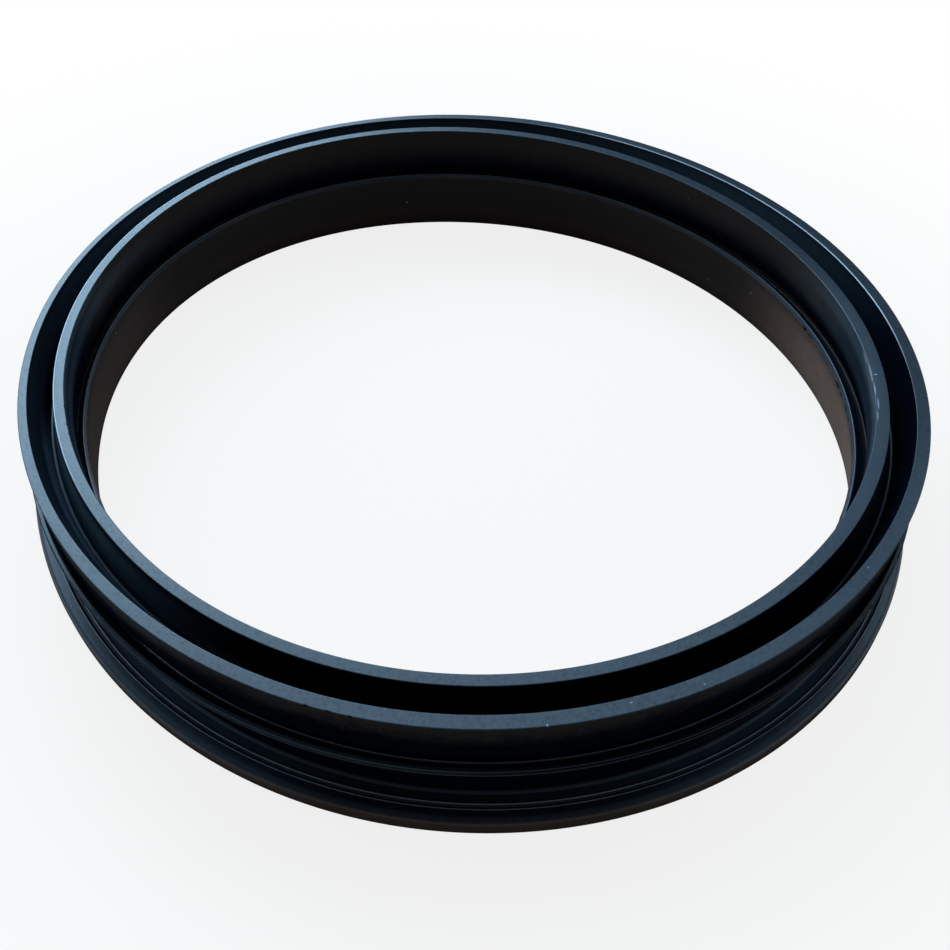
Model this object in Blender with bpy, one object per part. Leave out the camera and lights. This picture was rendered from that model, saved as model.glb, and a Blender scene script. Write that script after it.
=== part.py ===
"""Moulded rubber profile seal ring, in metres, +Z up, standing on its foot with the ring's axis on Z.

The section is one piece of rubber. From the top down it has two upright lips with a V groove between
them, a neck, a fir-tree barb on each side of the neck with a gutter above it, a tapering stem, and a
foot that carries a flange on its outer side.
"""

import math

import bmesh
import bpy

MM = 0.001

# Ring size
GROOVE_CIRCLE_RADIUS = 61.6 * MM
FACETS_AROUND = 96

# Lips and the groove between them
LIP_THICKNESS = 1.65 * MM
LIP_WALL_HEIGHT = 5.2 * MM
LIP_EDGE_RADIUS = 0.12 * MM
LIP_SHOULDER_RADIUS = 2.2 * MM
GROOVE_WIDTH = 3.45 * MM
GROOVE_DEPTH = 6.5 * MM
GROOVE_ROOT_RADIUS = 0.25 * MM

# Neck and the gutters beside it
NECK_THICKNESS = 3.9 * MM
NECK_HEIGHT = 3.35 * MM
GUTTER_RADIUS = 0.1 * MM
OUTER_GUTTER_DEPTH = 2.05 * MM
INNER_GUTTER_DEPTH = 1.5 * MM

# Barbs
BARB_TOP_HEIGHT = 11.65 * MM
BARB_EDGE_RADIUS = 0.08 * MM
OUTER_BARB_PROJECTION = 2.3 * MM
OUTER_BARB_LAND = 0.45 * MM
OUTER_BARB_CHAMFER_WIDTH = 0.15 * MM
OUTER_BARB_CHAMFER_HEIGHT = 0.6 * MM
INNER_BARB_PROJECTION = 2.25 * MM
INNER_BARB_LAND = 0.2 * MM
INNER_BARB_CHAMFER_WIDTH = 0.32 * MM
INNER_BARB_CHAMFER_HEIGHT = 0.65 * MM

# Foot and flange
FOOT_THICKNESS = 3.3 * MM
FOOT_EDGE_RADIUS = 0.25 * MM
TROUGH_WIDTH = 2.1 * MM
TROUGH_HEIGHT = 1.7 * MM
TROUGH_RADIUS = 0.4 * MM
FLANGE_TOP_WIDTH = 1.6 * MM
FLANGE_CROWN_HEIGHT = 2.95 * MM
FLANGE_RIM_HEIGHT = 2.4 * MM
FLANGE_RIM_RADIUS = 1.0 * MM
NOTCH_WIDTH = 0.85 * MM
NOTCH_DEPTH = 0.35 * MM
NOTCH_INNER_DROP = 0.12 * MM

# Rounding
MOST_OF_A_SIDE = 0.45
ARC_SAG = 0.04 * MM
SHARP_ANGLE_DEG = 32.0

# Finish
RUBBER_COLOUR = (0.012, 0.0125, 0.014, 1.0)
RUBBER_ROUGHNESS = 0.5

# Sizes that follow from those above
SHOULDER_HEIGHT = BARB_TOP_HEIGHT + NECK_HEIGHT
RING_HEIGHT = SHOULDER_HEIGHT + LIP_WALL_HEIGHT
GROOVE_HALF = GROOVE_WIDTH / 2
LIP_REACH = GROOVE_HALF + LIP_THICKNESS
NECK_HALF = NECK_THICKNESS / 2
FOOT_HALF = FOOT_THICKNESS / 2
OUTER_BARB_REACH = NECK_HALF + OUTER_BARB_PROJECTION
INNER_BARB_REACH = NECK_HALF + INNER_BARB_PROJECTION
NOTCH_START = FOOT_HALF + TROUGH_WIDTH
NOTCH_END = NOTCH_START + NOTCH_WIDTH
FLANGE_REACH = NOTCH_END + FLANGE_TOP_WIDTH


def outer_side():
    """Corners of the outer side from the lip's top down to the flange's foot, as (offset, height, radius).

    An offset is measured from the circle of the groove, positive away from the ring's axis.
    """
    barb_top_end = OUTER_BARB_REACH - OUTER_BARB_CHAMFER_WIDTH
    return [
        (LIP_REACH, RING_HEIGHT, LIP_EDGE_RADIUS),
        (LIP_REACH, SHOULDER_HEIGHT, LIP_SHOULDER_RADIUS),
        (NECK_HALF, BARB_TOP_HEIGHT - OUTER_GUTTER_DEPTH, GUTTER_RADIUS),
        (barb_top_end - OUTER_BARB_LAND, BARB_TOP_HEIGHT, BARB_EDGE_RADIUS),
        (barb_top_end, BARB_TOP_HEIGHT, BARB_EDGE_RADIUS),
        (OUTER_BARB_REACH, BARB_TOP_HEIGHT - OUTER_BARB_CHAMFER_HEIGHT, BARB_EDGE_RADIUS),
        (FOOT_HALF, TROUGH_HEIGHT, TROUGH_RADIUS),
        (NOTCH_START, FLANGE_CROWN_HEIGHT - NOTCH_INNER_DROP, 0.0),
        ((NOTCH_START + NOTCH_END) / 2, FLANGE_CROWN_HEIGHT - NOTCH_DEPTH, 0.0),
        (NOTCH_END, FLANGE_CROWN_HEIGHT, 0.0),
        (FLANGE_REACH, FLANGE_RIM_HEIGHT, FLANGE_RIM_RADIUS),
        (FLANGE_REACH, 0.0, FOOT_EDGE_RADIUS),
    ]


def inner_side():
    """Corners of the inner side from the foot up to the lip's top, as (offset, height, radius)."""
    barb_top_start = INNER_BARB_REACH - INNER_BARB_CHAMFER_WIDTH
    return [
        (-FOOT_HALF, 0.0, FOOT_EDGE_RADIUS),
        (-INNER_BARB_REACH, BARB_TOP_HEIGHT - INNER_BARB_CHAMFER_HEIGHT, BARB_EDGE_RADIUS),
        (-barb_top_start, BARB_TOP_HEIGHT, BARB_EDGE_RADIUS),
        (-barb_top_start + INNER_BARB_LAND, BARB_TOP_HEIGHT, BARB_EDGE_RADIUS),
        (-NECK_HALF, BARB_TOP_HEIGHT - INNER_GUTTER_DEPTH, GUTTER_RADIUS),
        (-LIP_REACH, SHOULDER_HEIGHT, LIP_SHOULDER_RADIUS),
        (-LIP_REACH, RING_HEIGHT, LIP_EDGE_RADIUS),
    ]


def groove():
    """Corners of the V groove from the inner lip's top to the outer lip's top, as (offset, height, radius)."""
    return [
        (-GROOVE_HALF, RING_HEIGHT, LIP_EDGE_RADIUS),
        (0.0, RING_HEIGHT - GROOVE_DEPTH, GROOVE_ROOT_RADIUS),
        (GROOVE_HALF, RING_HEIGHT, LIP_EDGE_RADIUS),
    ]


def rounded_corner(before, corner, after):
    """Points that replace a corner by an arc tangent to both of its sides.

    The radius is held to what the two sides have room for.
    """
    x, z, radius = corner
    if radius == 0.0:
        return [(x, z)]
    length_in = math.hypot(before[0] - x, before[1] - z)
    length_out = math.hypot(after[0] - x, after[1] - z)
    way_in = ((before[0] - x) / length_in, (before[1] - z) / length_in)
    way_out = ((after[0] - x) / length_out, (after[1] - z) / length_out)
    opening = math.acos(way_in[0] * way_out[0] + way_in[1] * way_out[1])
    room = MOST_OF_A_SIDE * min(length_in, length_out)
    tangent = min(radius / math.tan(opening / 2), room)
    radius = tangent * math.tan(opening / 2)
    middle = (way_in[0] + way_out[0], way_in[1] + way_out[1])
    to_centre = math.hypot(radius, tangent) / math.hypot(*middle)
    centre = (x + middle[0] * to_centre, z + middle[1] * to_centre)
    start = (x + way_in[0] * tangent, z + way_in[1] * tangent)
    start_angle = math.atan2(start[1] - centre[1], start[0] - centre[0])
    turn = math.pi - opening
    side = way_in[0] * way_out[1] - way_in[1] * way_out[0]
    widest_step = 2 * math.acos(1 - min(ARC_SAG / radius, 1.0))
    steps = math.ceil(turn / widest_step)
    points = []
    for i in range(steps + 1):
        angle = start_angle - math.copysign(turn * i / steps, side)
        points.append((centre[0] + radius * math.cos(angle), centre[1] + radius * math.sin(angle)))
    return points


def section():
    """The closed outline of the section, running down its outer side, as (radius, height) points."""
    corners = outer_side() + inner_side() + groove()
    points = []
    for i, corner in enumerate(corners):
        after = corners[(i + 1) % len(corners)]
        points += rounded_corner(corners[i - 1], corner, after)
    return [(GROOVE_CIRCLE_RADIUS + offset, height) for offset, height in points]


def rubber():
    """Satin black rubber."""
    material = bpy.data.materials.new("black_rubber")
    material.use_nodes = True
    shader = material.node_tree.nodes["Principled BSDF"]
    shader.inputs["Base Color"].default_value = RUBBER_COLOUR
    shader.inputs["Roughness"].default_value = RUBBER_ROUGHNESS
    shader.inputs["Metallic"].default_value = 0.0
    material.diffuse_color = RUBBER_COLOUR
    return material


def seal_ring():
    """The section turned once round the ring's axis."""
    shape = bmesh.new()
    outline = [shape.verts.new((radius, 0.0, height)) for radius, height in section()]
    edges = [shape.edges.new((outline[i - 1], vert)) for i, vert in enumerate(outline)]
    bmesh.ops.spin(
        shape,
        geom=outline + edges,
        axis=(0.0, 0.0, 1.0),
        cent=(0.0, 0.0, 0.0),
        angle=2 * math.pi,
        steps=FACETS_AROUND,
        use_merge=True,
    )
    bmesh.ops.recalc_face_normals(shape, faces=shape.faces)
    mesh = bpy.data.meshes.new("seal_ring")
    shape.to_mesh(mesh)
    shape.free()
    mesh.shade_smooth()
    mesh.set_sharp_from_angle(angle=math.radians(SHARP_ANGLE_DEG))
    mesh.materials.append(rubber())
    ring = bpy.data.objects.new("seal_ring", mesh)
    bpy.context.scene.collection.objects.link(ring)


def clear_scene():
    """Removes whatever the scene holds."""
    for obj in list(bpy.data.objects):
        bpy.data.objects.remove(obj, do_unlink=True)


clear_scene()
seal_ring()
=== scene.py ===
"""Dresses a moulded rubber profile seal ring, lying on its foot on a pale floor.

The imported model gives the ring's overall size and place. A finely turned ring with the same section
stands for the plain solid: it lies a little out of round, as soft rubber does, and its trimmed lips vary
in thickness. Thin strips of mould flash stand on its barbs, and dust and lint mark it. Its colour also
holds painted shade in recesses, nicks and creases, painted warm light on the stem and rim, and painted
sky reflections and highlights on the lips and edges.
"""

import logging
import math
from dataclasses import dataclass, replace
from enum import Enum

import bmesh
import bpy
from mathutils import Matrix, Vector


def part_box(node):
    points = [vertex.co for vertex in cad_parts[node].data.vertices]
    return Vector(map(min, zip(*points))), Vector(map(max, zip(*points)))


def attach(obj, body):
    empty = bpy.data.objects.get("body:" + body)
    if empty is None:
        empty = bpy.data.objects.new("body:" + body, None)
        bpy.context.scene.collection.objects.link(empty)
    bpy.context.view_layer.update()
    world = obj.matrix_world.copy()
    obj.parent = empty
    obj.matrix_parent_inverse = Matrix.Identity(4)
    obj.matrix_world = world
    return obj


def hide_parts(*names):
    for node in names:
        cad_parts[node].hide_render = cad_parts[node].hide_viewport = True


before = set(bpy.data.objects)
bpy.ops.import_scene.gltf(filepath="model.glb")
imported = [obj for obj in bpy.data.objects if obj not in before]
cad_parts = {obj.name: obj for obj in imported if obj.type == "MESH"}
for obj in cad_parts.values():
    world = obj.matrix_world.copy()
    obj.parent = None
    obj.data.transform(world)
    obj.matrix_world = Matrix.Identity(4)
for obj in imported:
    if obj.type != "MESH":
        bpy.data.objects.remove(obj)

LOG = logging.getLogger("seal_ring")
MM = 0.001
RING_NODE = "seal_ring"
RUBBER_SLOT = "black_rubber"
BODY = "root"
REST_PLACE = "rest_place"

# Shares of a mark at full strength or fading: a trace's middle, a trace's ends, a scar's middle
TRACE_CORE = 0.3
TRACE_FADE = 0.85
SCAR_CORE = 0.5

# Names of types
Socket = bpy.types.NodeSocket
Term = "Number | float"
Colour = tuple[float, float, float, float]
ScarSize = tuple[float, float, float, float]
Range = tuple[float, float]

WHITE: Colour = (1.0, 1.0, 1.0, 1.0)


@dataclass(frozen=True)
class Noise:
    """The make of a noise pattern: cells to a unit, number of finer octaves, and strength of each."""

    scale: float
    detail: float
    roughness: float


@dataclass(frozen=True)
class Fade:
    """How far from an edge a look is still whole, and how far from it the look is gone."""

    whole: float
    gone: float


class Number:
    """A number in a node tree, whose Python operators add Math nodes."""

    def __init__(self, board: "NodeBoard", socket: Socket) -> None:
        """Wraps an output socket.

        Args:
            board: The tree that the socket belongs to.
            socket: The output that carries the number.
        """
        self.board = board
        self.socket = socket

    def __add__(self, other: Term) -> "Number":
        """Sum."""
        return self.board.maths("ADD", self, other)

    def __radd__(self, other: float) -> "Number":
        """Sum, with the plain number first."""
        return self.board.maths("ADD", other, self)

    def __sub__(self, other: Term) -> "Number":
        """Difference."""
        return self.board.maths("SUBTRACT", self, other)

    def __rsub__(self, other: float) -> "Number":
        """Difference, with the plain number first."""
        return self.board.maths("SUBTRACT", other, self)

    def __mul__(self, other: Term) -> "Number":
        """Product."""
        return self.board.maths("MULTIPLY", self, other)

    def __rmul__(self, other: float) -> "Number":
        """Product, with the plain number first."""
        return self.board.maths("MULTIPLY", other, self)

    def __truediv__(self, other: Term) -> "Number":
        """Quotient."""
        return self.board.maths("DIVIDE", self, other)

    def __pow__(self, other: Term) -> "Number":
        """Power."""
        return self.board.maths("POWER", self, other)

    def __neg__(self) -> "Number":
        """The number with its sign changed."""
        return self.board.maths("MULTIPLY", self, -1.0)

    def __abs__(self) -> "Number":
        """The number without its sign."""
        return self.board.maths("ABSOLUTE", self)

    def cosine(self) -> "Number":
        """Cosine of the number, read as radians."""
        return self.board.maths("COSINE", self)

    def at_least(self, other: Term) -> "Number":
        """The larger of the two."""
        return self.board.maths("MAXIMUM", self, other)

    def at_most(self, other: Term) -> "Number":
        """The smaller of the two."""
        return self.board.maths("MINIMUM", self, other)

    def ramp(self, low: Term, high: Term) -> "Number":
        """A smooth rise from 0 where the number is low to 1 where it is high.

        Args:
            low: The value that gives 0.
            high: The value that gives 1.

        Returns:
            The rise, held between 0 and 1.
        """
        made = self.board.node(
            "ShaderNodeMapRange",
            {"interpolation_type": "SMOOTHSTEP", "clamp": True},
            {"Value": self, "From Min": low, "From Max": high, "To Min": 0.0, "To Max": 1.0},
        )
        return Number(self.board, made.outputs["Result"])


class NodeBoard:
    """A node tree under construction, in a material, the world or a modifier."""

    def __init__(self, tree: bpy.types.NodeTree) -> None:
        """Takes the tree to build in.

        Args:
            tree: A material's, the world's or a modifier's tree.
        """
        self.tree = tree

    def node(
        self,
        kind: str,
        settings: dict[str, object] | None = None,
        inputs: dict[str | int, object] | None = None,
    ) -> bpy.types.Node:
        """Adds a node of any kind.

        Args:
            kind: Blender's name for the node's type.
            settings: The node's own properties, which are set first.
            inputs: Values or links, by socket identifier, name or index.

        Returns:
            The new node.
        """
        made = self.tree.nodes.new(kind)
        for name, value in (settings or {}).items():
            setattr(made, name, value)
        for key, value in (inputs or {}).items():
            self.feed(self.socket_of(made.inputs, key), value)
        return made

    def socket_of(self, sockets: bpy.types.bpy_prop_collection, key: str | int) -> Socket:
        """Finds a socket.

        Args:
            sockets: A node's inputs or outputs.
            key: The socket's identifier, name or index.

        Returns:
            The socket whose identifier matches, or else the one with that name or index.
        """
        return next((s for s in sockets if s.identifier == key), None) or sockets[key]

    def feed(self, socket: Socket, value: object) -> None:
        """Links a socket to an output, or sets its value.

        Args:
            socket: The input to fill.
            value: A Number, an output socket or a plain value.
        """
        source = value.socket if isinstance(value, Number) else value
        if isinstance(source, Socket):
            self.tree.links.new(source, socket)
        else:
            socket.default_value = source

    def maths(self, operation: str, *terms: Term) -> Number:
        """Adds a Math node.

        Args:
            operation: The node's operation.
            terms: Its inputs in order.

        Returns:
            The result.
        """
        made = self.node("ShaderNodeMath", {"operation": operation}, dict(enumerate(terms)))
        return Number(self, made.outputs[0])

    def vector(self, x: Term, y: Term, z: Term) -> Socket:
        """Joins three numbers into a vector."""
        return self.node("ShaderNodeCombineXYZ", inputs={"X": x, "Y": y, "Z": z}).outputs["Vector"]

    def parts(self, vector: Socket) -> tuple[Number, Number, Number]:
        """Splits a vector into its three numbers."""
        x, y, z = self.node("ShaderNodeSeparateXYZ", inputs={"Vector": vector}).outputs
        return Number(self, x), Number(self, y), Number(self, z)

    def length(self, x: Number, y: Number) -> Number:
        """Length of the flat vector (x, y)."""
        return self.maths("SQRT", x * x + y * y)

    def noise(self, vector: Socket, make: Noise) -> Number:
        """Adds a Noise Texture.

        Args:
            vector: Where the pattern is read.
            make: The pattern's make.

        Returns:
            The pattern's value, about 0.5 in the mean.
        """
        inputs = {"Vector": vector, "Scale": make.scale, "Detail": make.detail, "Roughness": make.roughness}
        return Number(self, self.node("ShaderNodeTexNoise", inputs=inputs).outputs[0])

    def blend(self, share: Term, first: object, second: object) -> Socket:
        """Mixes two colours.

        Args:
            share: How much of the second colour there is.
            first: A colour or a colour socket.
            second: A colour or a colour socket.

        Returns:
            The mixed colour's socket.
        """
        made = self.node(
            "ShaderNodeMix",
            {"data_type": "RGBA"},
            {"Factor_Float": share, "A_Color": first, "B_Color": second},
        )
        return self.socket_of(made.outputs, "Result_Color")


class Recipe(NodeBoard):
    """A Geometry Nodes tree that ends in realised, painted geometry."""

    def __init__(self, name: str) -> None:
        """Starts an empty tree with a geometry input.

        Args:
            name: The tree's name.
        """
        super().__init__(bpy.data.node_groups.new(name, "GeometryNodeTree"))
        self.entry = self.tree.nodes.new("NodeGroupInput")
        self.values: dict[str, object] = {}
        self._input("Outline", "NodeSocketGeometry")
        self.tree.interface.new_socket(name="Geometry", in_out="OUTPUT", socket_type="NodeSocketGeometry")

    def _input(self, name: str, kind: str) -> str:
        """Adds a named input and gives its identifier."""
        return self.tree.interface.new_socket(name=name, in_out="INPUT", socket_type=kind).identifier

    def number(self, name: str, value: float) -> Number:
        """Adds a named number to the tree's inputs.

        Args:
            name: The input's name, as the modifier shows it.
            value: What the modifier gives it.

        Returns:
            The number inside the tree.
        """
        kind = "NodeSocketInt" if isinstance(value, int) else "NodeSocketFloat"
        key = self._input(name, kind)
        self.values[key] = value
        return Number(self, self.socket_of(self.entry.outputs, key))

    def outline(self) -> Socket:
        """The mesh that the modifier is put on, as a curve."""
        return self.node("GeometryNodeMeshToCurve", inputs={0: self.entry.outputs[0]}).outputs[0]

    def turn(self, profile: Socket, radius: Number, facets: Number) -> Socket:
        """Carries a profile once round a circle about Z.

        Args:
            profile: The profile curve, with X outwards and Y down.
            radius: The circle's radius.
            facets: The circle's number of points.

        Returns:
            The turned mesh.
        """
        size = {"Resolution": facets, "Radius": radius}
        circle = self.node("GeometryNodeCurvePrimitiveCircle", inputs=size).outputs["Curve"]
        upright = self.node("GeometryNodeSetCurveNormal", {"mode": "Z_UP"}, {"Curve": circle})
        rails = {"Curve": upright.outputs["Curve"], "Profile Curve": profile}
        return self.node("GeometryNodeCurveToMesh", inputs=rails).outputs["Mesh"]

    def place(self) -> Socket:
        """Position of the point."""
        return self.node("GeometryNodeInputPosition").outputs["Position"]

    def remember(self, geometry: Socket, name: str) -> Socket:
        """Stores each point's present place as an attribute.

        Args:
            geometry: The geometry to store it on.
            name: The attribute's name.

        Returns:
            The geometry with the attribute.
        """
        kept = self.node(
            "GeometryNodeStoreNamedAttribute",
            {"data_type": "FLOAT_VECTOR", "domain": "POINT"},
            {"Geometry": geometry, "Name": name, "Value": self.place()},
        )
        return kept.outputs["Geometry"]

    def move(self, geometry: Socket, offset: Socket) -> Socket:
        """Moves each point of the geometry by an offset."""
        inputs = {"Geometry": geometry, "Offset": offset}
        return self.node("GeometryNodeSetPosition", inputs=inputs).outputs[0]

    def finish(self, geometry: Socket, material: bpy.types.Material) -> None:
        """Ends the tree in realised geometry with its material.

        Args:
            geometry: What the tree made.
            material: The finish of all of it.
        """
        real = self.node("GeometryNodeRealizeInstances", inputs={"Geometry": geometry})
        painted = self.node(
            "GeometryNodeSetMaterial",
            inputs={"Geometry": real.outputs["Geometry"], "Material": material},
        )
        last = self.tree.nodes.new("NodeGroupOutput")
        self.tree.links.new(painted.outputs["Geometry"], last.inputs["Geometry"])

    def bake(self, name: str, base: bpy.types.Mesh, sharp_angle_deg: float) -> bpy.types.Object:
        """Runs the tree on a mesh and keeps the result as a plain object.

        Args:
            name: The object's name.
            base: The mesh that the tree starts from.
            sharp_angle_deg: Edges that turn by more than this stay sharp.

        Returns:
            The object, at the origin, with no modifier left on it.
        """
        made = place_object(name, base)
        modifier = made.modifiers.new("recipe", "NODES")
        modifier.node_group = self.tree
        for key, value in self.values.items():
            modifier[key] = value
        made.update_tag()
        evaluated = made.evaluated_get(bpy.context.evaluated_depsgraph_get())
        mesh = bpy.data.meshes.new_from_object(evaluated)
        made.modifiers.remove(modifier)
        made.data = mesh
        mesh.name = name
        face_outwards(mesh)
        mesh.shade_smooth()
        mesh.set_sharp_from_angle(angle=math.radians(sharp_angle_deg))
        return made


def place_object(name: str, data: bpy.types.ID) -> bpy.types.Object:
    """Adds an object to the scene.

    Args:
        name: Its name.
        data: Its mesh, light or camera.

    Returns:
        The object.
    """
    made = bpy.data.objects.new(name, data)
    bpy.context.scene.collection.objects.link(made)
    return made


def face_outwards(mesh: bpy.types.Mesh) -> None:
    """Turns every face of a closed mesh outwards.

    Args:
        mesh: The mesh to mend.
    """
    shape = bmesh.new()
    shape.from_mesh(mesh)
    bmesh.ops.recalc_face_normals(shape, faces=shape.faces)
    shape.to_mesh(mesh)
    shape.free()


def polyline_mesh(name: str, points: list[tuple[float, float]]) -> bpy.types.Mesh:
    """Makes a closed outline as a mesh of edges.

    Args:
        name: The mesh's name.
        points: The outline as (outwards, up).

    Returns:
        The mesh, with X outwards and Y down, as the turning expects.
    """
    mesh = bpy.data.meshes.new(name)
    edges = [(i, (i + 1) % len(points)) for i in range(len(points))]
    mesh.from_pydata([(out, -up, 0.0) for out, up in points], edges, [])
    return mesh


@dataclass(frozen=True)
class Corner:
    """A corner of the section before it is rounded, as offset from the groove's circle and height."""

    offset: float
    height: float
    radius: float = 0.0


@dataclass(frozen=True)
class Section:
    """The ring's section, in metres, from the lips down to the flanged foot."""

    lip_thickness: float = 1.65 * MM
    lip_wall_height: float = 5.2 * MM
    lip_edge_radius: float = 0.12 * MM
    lip_shoulder_radius: float = 2.2 * MM
    groove_width: float = 3.45 * MM
    groove_depth: float = 6.5 * MM
    groove_root_radius: float = 0.25 * MM
    neck_thickness: float = 3.9 * MM
    neck_height: float = 3.35 * MM
    gutter_radius: float = 0.1 * MM
    outer_gutter_depth: float = 2.05 * MM
    inner_gutter_depth: float = 1.5 * MM
    barb_top_height: float = 11.65 * MM
    barb_edge_radius: float = 0.08 * MM
    outer_barb_projection: float = 2.3 * MM
    outer_barb_land: float = 0.45 * MM
    outer_barb_chamfer_width: float = 0.15 * MM
    outer_barb_chamfer_height: float = 0.6 * MM
    inner_barb_projection: float = 2.25 * MM
    inner_barb_land: float = 0.2 * MM
    inner_barb_chamfer_width: float = 0.32 * MM
    inner_barb_chamfer_height: float = 0.65 * MM
    foot_thickness: float = 3.3 * MM
    foot_edge_radius: float = 0.25 * MM
    trough_width: float = 2.1 * MM
    trough_height: float = 1.7 * MM
    trough_radius: float = 0.4 * MM
    flange_top_width: float = 1.73 * MM
    flange_crown_height: float = 2.95 * MM
    flange_rim_height: float = 2.4 * MM
    flange_rim_radius: float = 1.0 * MM
    notch_width: float = 0.72 * MM
    notch_depth: float = 0.35 * MM
    notch_inner_drop: float = 0.12 * MM
    notch_edge_radius: float = 0.08 * MM
    arc_steps: int = 4
    most_of_a_side: float = 0.45
    support: float = 0.05 * MM
    longest_side: float = 1.3 * MM

    @property
    def shoulder_height(self) -> float:
        """Height at which the lips' upright walls begin."""
        return self.barb_top_height + self.neck_height

    @property
    def height(self) -> float:
        """Height of the lips' tops."""
        return self.shoulder_height + self.lip_wall_height

    @property
    def groove_half(self) -> float:
        """Half the groove's mouth."""
        return self.groove_width / 2

    @property
    def lip_reach(self) -> float:
        """Offset of the lips' far walls."""
        return self.groove_half + self.lip_thickness

    @property
    def neck_half(self) -> float:
        """Half the neck."""
        return self.neck_thickness / 2

    @property
    def foot_half(self) -> float:
        """Half the foot, without its flange."""
        return self.foot_thickness / 2

    @property
    def outer_barb_reach(self) -> float:
        """Offset of the outer barb's tip."""
        return self.neck_half + self.outer_barb_projection

    @property
    def inner_barb_reach(self) -> float:
        """Offset of the inner barb's tip, inwards."""
        return self.neck_half + self.inner_barb_projection

    @property
    def notch_start(self) -> float:
        """Offset of the notch's inner edge."""
        return self.foot_half + self.trough_width

    @property
    def notch_end(self) -> float:
        """Offset of the notch's outer edge."""
        return self.notch_start + self.notch_width

    @property
    def flange_reach(self) -> float:
        """Offset of the flange's rim."""
        return self.notch_end + self.flange_top_width

    def groove_root(self) -> tuple[float, float]:
        """Finds the rounded root of the groove.

        Returns:
            Its offset and height.
        """
        slope = math.atan2(self.groove_half, self.groove_depth)
        lift = self.groove_root_radius * (1 / math.sin(slope) - 1)
        return 0.0, self.height - self.groove_depth + lift

    def outer_gutter_floor(self) -> tuple[float, float]:
        """Finds the lowest place of the rounded gutter above the outer barb.

        Returns:
            Its offset and height.
        """
        lip, corner, land = self.outer_side()[1:4]
        root = Vector((corner.offset, corner.height))
        to_lip = (Vector((lip.offset, lip.height)) - root).normalized()
        to_land = (Vector((land.offset, land.height)) - root).normalized()
        half_opening = to_lip.angle(to_land) / 2
        lift = corner.radius * (1.0 / math.sin(half_opening) - 1.0)
        floor = root + (to_lip + to_land).normalized() * lift
        return floor.x, floor.y

    def trough_root(self) -> tuple[float, float]:
        """Finds the rounded root of the trough between stem and flange.

        Returns:
            Its offset and height.
        """
        stem_run = self.outer_barb_reach - self.foot_half
        stem_rise = self.barb_top_height - self.outer_barb_chamfer_height - self.trough_height
        side_rise = self.flange_crown_height - self.notch_inner_drop - self.trough_height
        stem, side = math.atan2(stem_rise, stem_run), math.atan2(side_rise, self.trough_width)
        lift = self.trough_radius * (1 / math.sin((stem - side) / 2) - 1)
        middle = (stem + side) / 2
        return self.foot_half + lift * math.cos(middle), self.trough_height + lift * math.sin(middle)

    def outer_barb_edge(self) -> tuple[float, float]:
        """Offset and height of the outer barb's top edge."""
        return self.outer_barb_reach - self.outer_barb_chamfer_width, self.barb_top_height

    def outer_side(self) -> list[Corner]:
        """Lists the corners of the outer side, from the lip's top down to the flange's foot.

        Returns:
            The corners.
        """
        crown = self.flange_crown_height
        notch_middle = (self.notch_start + self.notch_end) / 2
        barb_end, barb_top = self.outer_barb_edge()
        chamfer_foot = barb_top - self.outer_barb_chamfer_height
        return [
            Corner(self.lip_reach, self.height, self.lip_edge_radius),
            Corner(self.lip_reach, self.shoulder_height, self.lip_shoulder_radius),
            Corner(self.neck_half, barb_top - self.outer_gutter_depth, self.gutter_radius),
            Corner(barb_end - self.outer_barb_land, barb_top, self.barb_edge_radius),
            Corner(barb_end, barb_top, self.barb_edge_radius),
            Corner(self.outer_barb_reach, chamfer_foot, self.barb_edge_radius),
            Corner(self.foot_half, self.trough_height, self.trough_radius),
            Corner(self.notch_start, crown - self.notch_inner_drop, self.notch_edge_radius),
            Corner(notch_middle, crown - self.notch_depth, self.notch_edge_radius),
            Corner(self.notch_end, crown, self.notch_edge_radius),
            Corner(self.flange_reach, self.flange_rim_height, self.flange_rim_radius),
            Corner(self.flange_reach, 0.0, self.foot_edge_radius),
        ]

    def inner_side(self) -> list[Corner]:
        """Lists the corners of the inner side, from the foot up to the lip's top.

        Returns:
            The corners.
        """
        barb_top = self.barb_top_height
        chamfer_top = self.inner_barb_reach - self.inner_barb_chamfer_width
        chamfer_foot = barb_top - self.inner_barb_chamfer_height
        return [
            Corner(-self.foot_half, 0.0, self.foot_edge_radius),
            Corner(-self.inner_barb_reach, chamfer_foot, self.barb_edge_radius),
            Corner(-chamfer_top, barb_top, self.barb_edge_radius),
            Corner(-chamfer_top + self.inner_barb_land, barb_top, self.barb_edge_radius),
            Corner(-self.neck_half, barb_top - self.inner_gutter_depth, self.gutter_radius),
            Corner(-self.lip_reach, self.shoulder_height, self.lip_shoulder_radius),
            Corner(-self.lip_reach, self.height, self.lip_edge_radius),
        ]

    def groove(self) -> list[Corner]:
        """Lists the corners of the groove, from the inner lip's top to the outer lip's top.

        Returns:
            The corners.
        """
        return [
            Corner(-self.groove_half, self.height, self.lip_edge_radius),
            Corner(0.0, self.height - self.groove_depth, self.groove_root_radius),
            Corner(self.groove_half, self.height, self.lip_edge_radius),
        ]

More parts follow.
